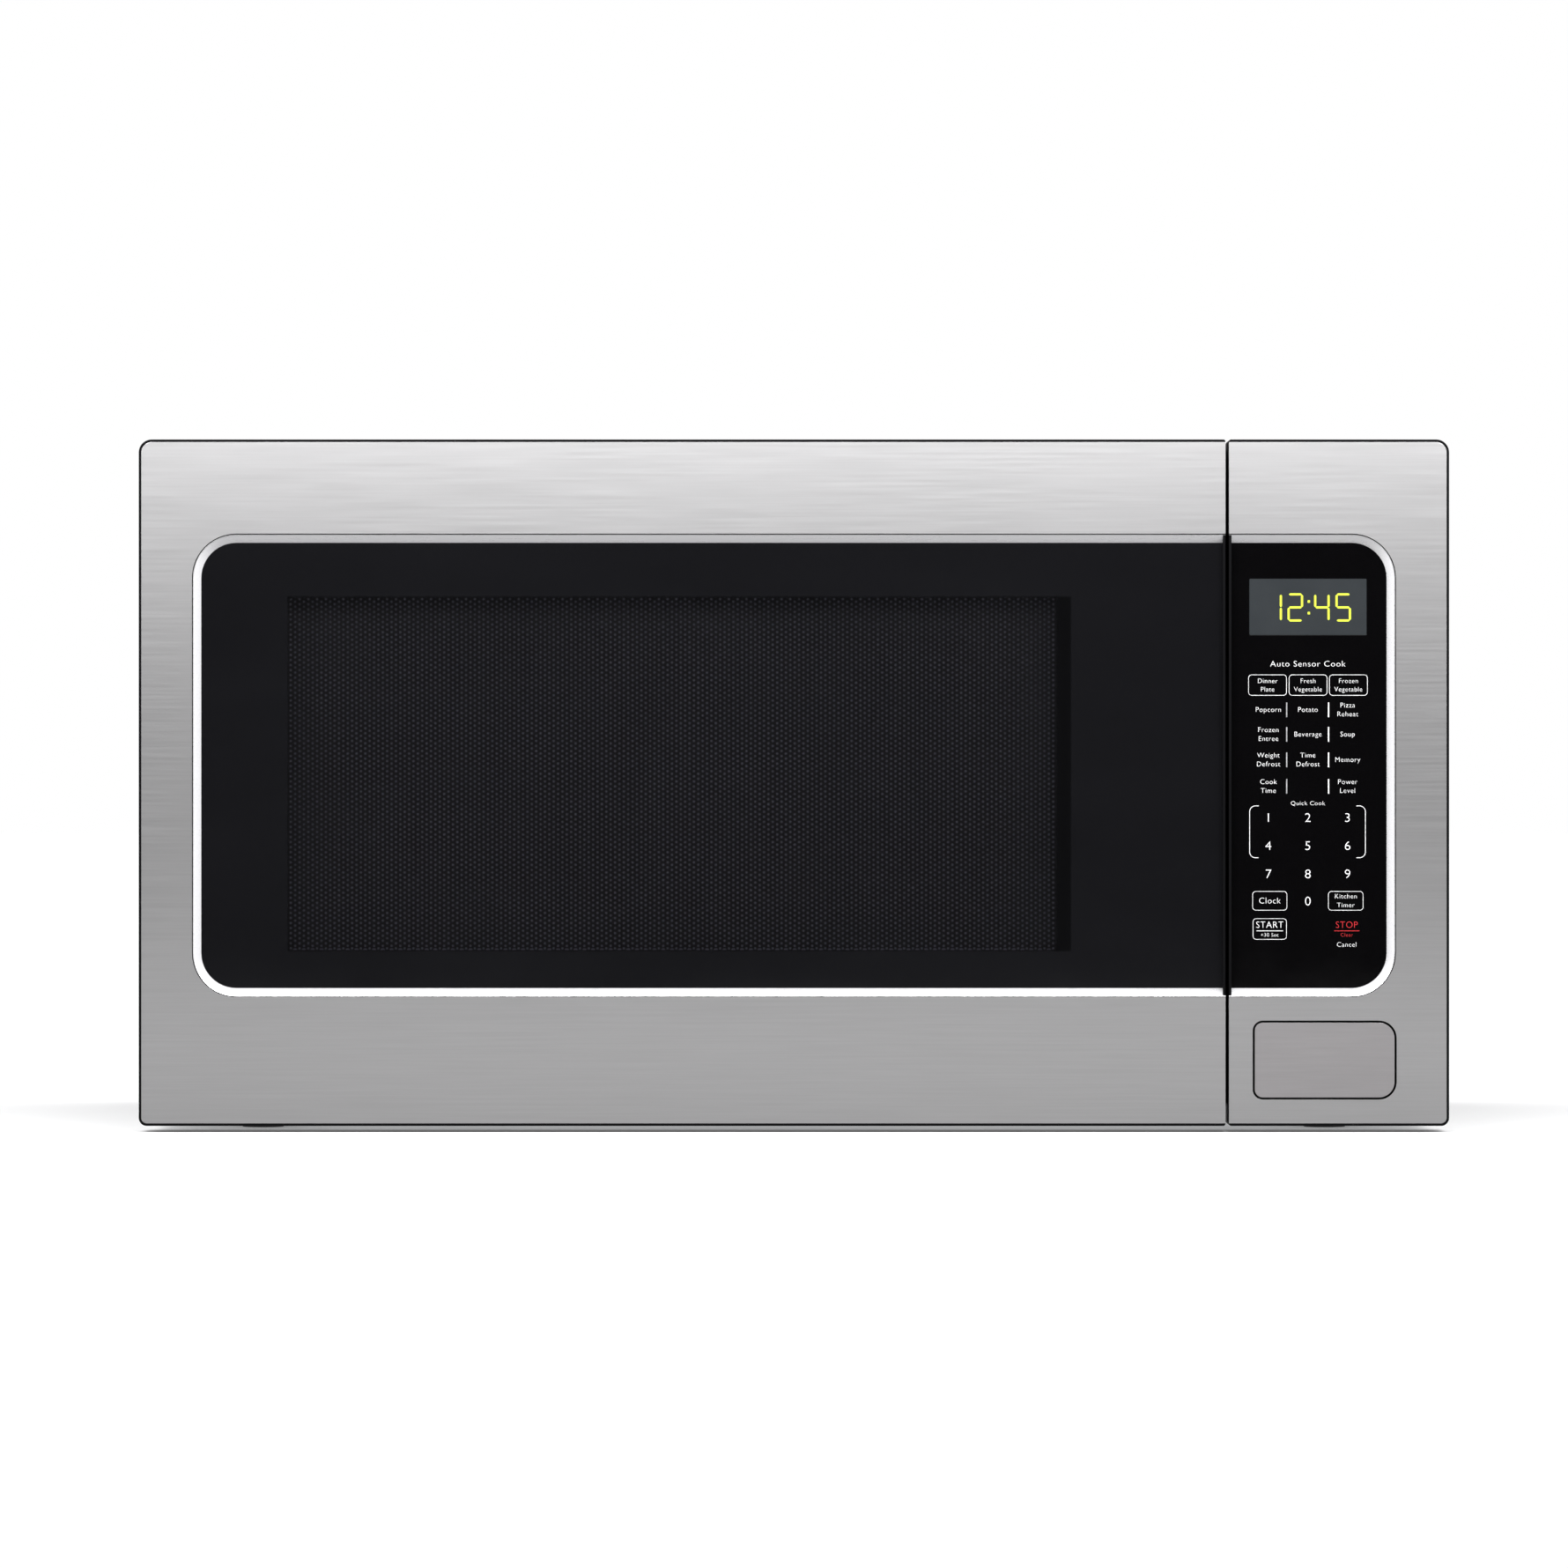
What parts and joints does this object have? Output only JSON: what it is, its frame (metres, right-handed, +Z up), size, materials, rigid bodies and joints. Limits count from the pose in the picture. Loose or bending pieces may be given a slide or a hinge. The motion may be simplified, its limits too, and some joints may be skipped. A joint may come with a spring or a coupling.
{
  "type": "microwave oven",
  "caption": "Countertop microwave oven with a stainless fascia, left-hinged dark glass door, flat keypad column, push-button door release and turntable.",
  "frame": {"origin": "on the counter under the middle of the oven's box", "axes": "+X to the right seen from the front, +Y to the rear, +Z up"},
  "size_m": [0.607, 0.49, 0.321],
  "materials": {
    "stainless": "horizontally brushed stainless sheet",
    "stainless_button": "horizontally brushed stainless sheet",
    "cabinet_paint": "fine textured black paint",
    "zinc": "zinc-coated sheet",
    "cavity_enamel": "light grey epoxy paint",
    "plate_paint": "black painted front plate",
    "frame_plastic": "moulded black plastic",
    "dark_glass": "black tinted glass",
    "clear_window": "clear sheet",
    "keypad_gloss": "glossy black membrane overlay",
    "display_tint": "grey tinted window",
    "display_glow": "vacuum fluorescent module",
    "screen_steel": "perforated steel, dark enamel",
    "choke_enamel": "grey enamelled steel",
    "cover_plastic": "moulded black plastic",
    "tray_glass": "clear moulded glass",
    "white_plastic": "heat-resistant white plastic",
    "latch_plastic": "natural nylon",
    "black_plastic": "moulded black plastic",
    "red_plastic": "red plastic",
    "foot_rubber": "moulded rubber",
    "mica": "mica sheet",
    "spring_steel": "spring wire",
    "screw_steel": "plated screws",
    "copper_fins": "fins and anode",
    "core_steel": "varnished laminations",
    "winding": "enamelled wire",
    "can_metal": "drawn can",
    "motor_metal": "motor core and cup",
    "duct_plastic": "grey duct plastic",
    "board_green": "circuit board",
    "lamp_white": "lamp and its holder",
    "fan_plastic": "fan plastic"
  },
  "bodies": {
    "cabinet": {"cabinet_wrap": "cabinet_paint", "base_pan": "zinc", "back_panel": "zinc", "front_plate": "plate_paint", "cavity_floor": "cavity_enamel", "cavity_ceiling": "cavity_enamel", "cavity_left_wall": "cavity_enamel", "cavity_right_wall": "cavity_enamel", "cavity_back_wall": "cavity_enamel", "waveguide": "zinc", "waveguide_cover": "mica", "magnetron_frame": "zinc", "magnetron_core": "copper_fins", "transformer_core": "core_steel", "transformer_windings": "winding", "hv_capacitor": "can_metal", "fan_housing": "duct_plastic", "fan_motor": "motor_metal", "air_duct": "duct_plastic", "line_filter_board": "board_green", "oven_lamp": "lamp_white", "thermostats": "black_plastic", "steam_sensor": "can_metal", "turntable_motor": "motor_metal", "hinge_brackets": "zinc", "latch_board": "latch_plastic", "interlock_switches": "black_plastic", "panel_frame": "frame_plastic", "panel_skin": "stainless", "keypad_overlay": "keypad_gloss", "display_window": "display_tint", "display_module": "display_glow", "control_board": "board_green", "button_spring": "spring_steel", "feet": "foot_rubber", "cabinet_screws": "screw_steel", "cord_gland": "black_plastic"},
    "fan": {"fan_blade": "fan_plastic"},
    "coupler": {"turntable_coupler": "white_plastic"},
    "tray": {"glass_tray": "tray_glass"},
    "ring": {"roller_ring": "white_plastic"},
    "wheel_1": {"roller_wheel_1": "white_plastic"},
    "wheel_2": {"roller_wheel_2": "white_plastic"},
    "wheel_3": {"roller_wheel_3": "white_plastic"},
    "button": {"release_button": "black_plastic", "button_skin": "stainless_button"},
    "lever": {"release_lever": "latch_plastic"},
    "plunger_upper": {"switch_plunger_upper": "red_plastic"},
    "plunger_lower": {"switch_plunger_lower": "red_plastic"},
    "door": {"door_frame": "frame_plastic", "door_skin": "stainless", "door_glass": "dark_glass", "door_screen": "screen_steel", "choke_panel": "choke_enamel", "choke_cover": "cover_plastic", "inner_window": "clear_window", "hook_spring": "spring_steel", "door_bushes": "white_plastic", "door_screws": "screw_steel"},
    "hooks": {"door_hooks": "latch_plastic"}
  },
  "joints": [
    {"name": "door_hinge", "type": "hinge", "parent": "cabinet", "child": "door", "pos_m": [-0.2955, -0.219, 0.16], "axis": [0, 0, -1], "range_deg": [0, 105]},
    {"name": "hook_lift", "type": "slide", "parent": "door", "child": "hooks", "axis": [0, 0, 1], "range_m": [0, 0.0056], "deforming": ["hook_spring"]},
    {"name": "button_press", "type": "slide", "parent": "cabinet", "child": "button", "axis": [0, 1, 0], "range_m": [0, 0.005], "stiffness_N_per_m": 400, "springref_m": -0.004, "deforming": ["button_spring"]},
    {"name": "lever_swing", "type": "hinge", "parent": "cabinet", "child": "lever", "pos_m": [0.18, -0.198, 0.05], "axis": [1, 0, 0], "range_deg": [0, 24.5]},
    {"name": "plunger_upper_press", "type": "slide", "parent": "cabinet", "child": "plunger_upper", "axis": [0, 1, 0], "range_m": [0, 0.0015], "stiffness_N_per_m": 300, "springref_m": -0.002},
    {"name": "plunger_lower_press", "type": "slide", "parent": "cabinet", "child": "plunger_lower", "axis": [0, 1, 0], "range_m": [0, 0.0015], "stiffness_N_per_m": 300, "springref_m": -0.002},
    {"name": "turntable_spin", "type": "hinge", "parent": "cabinet", "child": "coupler", "pos_m": [-0.065, 0.01075, 0.044], "axis": [0, 0, 1], "continuous": true},
    {"name": "tray_lift", "type": "slide", "parent": "coupler", "child": "tray", "axis": [0, 0, 1], "range_m": [0, 0.03]},
    {"name": "ring_spin", "type": "hinge", "parent": "cabinet", "child": "ring", "pos_m": [-0.065, 0.01075, 0.037], "axis": [0, 0, 1], "continuous": true},
    {"name": "wheel_1_spin", "type": "hinge", "parent": "ring", "child": "wheel_1", "pos_m": [-0.065, 0.01075, 0.037], "axis": [0, 1, 0], "continuous": true},
    {"name": "wheel_2_spin", "type": "hinge", "parent": "ring", "child": "wheel_2", "pos_m": [-0.065, 0.01075, 0.037], "axis": [-0.866, -0.5, 0], "continuous": true},
    {"name": "wheel_3_spin", "type": "hinge", "parent": "ring", "child": "wheel_3", "pos_m": [-0.065, 0.01075, 0.037], "axis": [0.866, -0.5, 0], "continuous": true},
    {"name": "fan_spin", "type": "hinge", "parent": "cabinet", "child": "fan", "pos_m": [0.228, 0.2, 0.155], "axis": [0, 1, 0], "continuous": true}
  ],
  "couplings": [
    {"joint": "hook_lift", "follows": "button_press", "ratio": 1.12},
    {"joint": "lever_swing", "follows": "button_press", "rad_per_m": 85.511},
    {"joint": "ring_spin", "follows": "turntable_spin", "ratio": 0.5},
    {"joint": "wheel_1_spin", "follows": "turntable_spin", "ratio": -7.5},
    {"joint": "wheel_2_spin", "follows": "turntable_spin", "ratio": -7.5},
    {"joint": "wheel_3_spin", "follows": "turntable_spin", "ratio": -7.5}
  ]
}
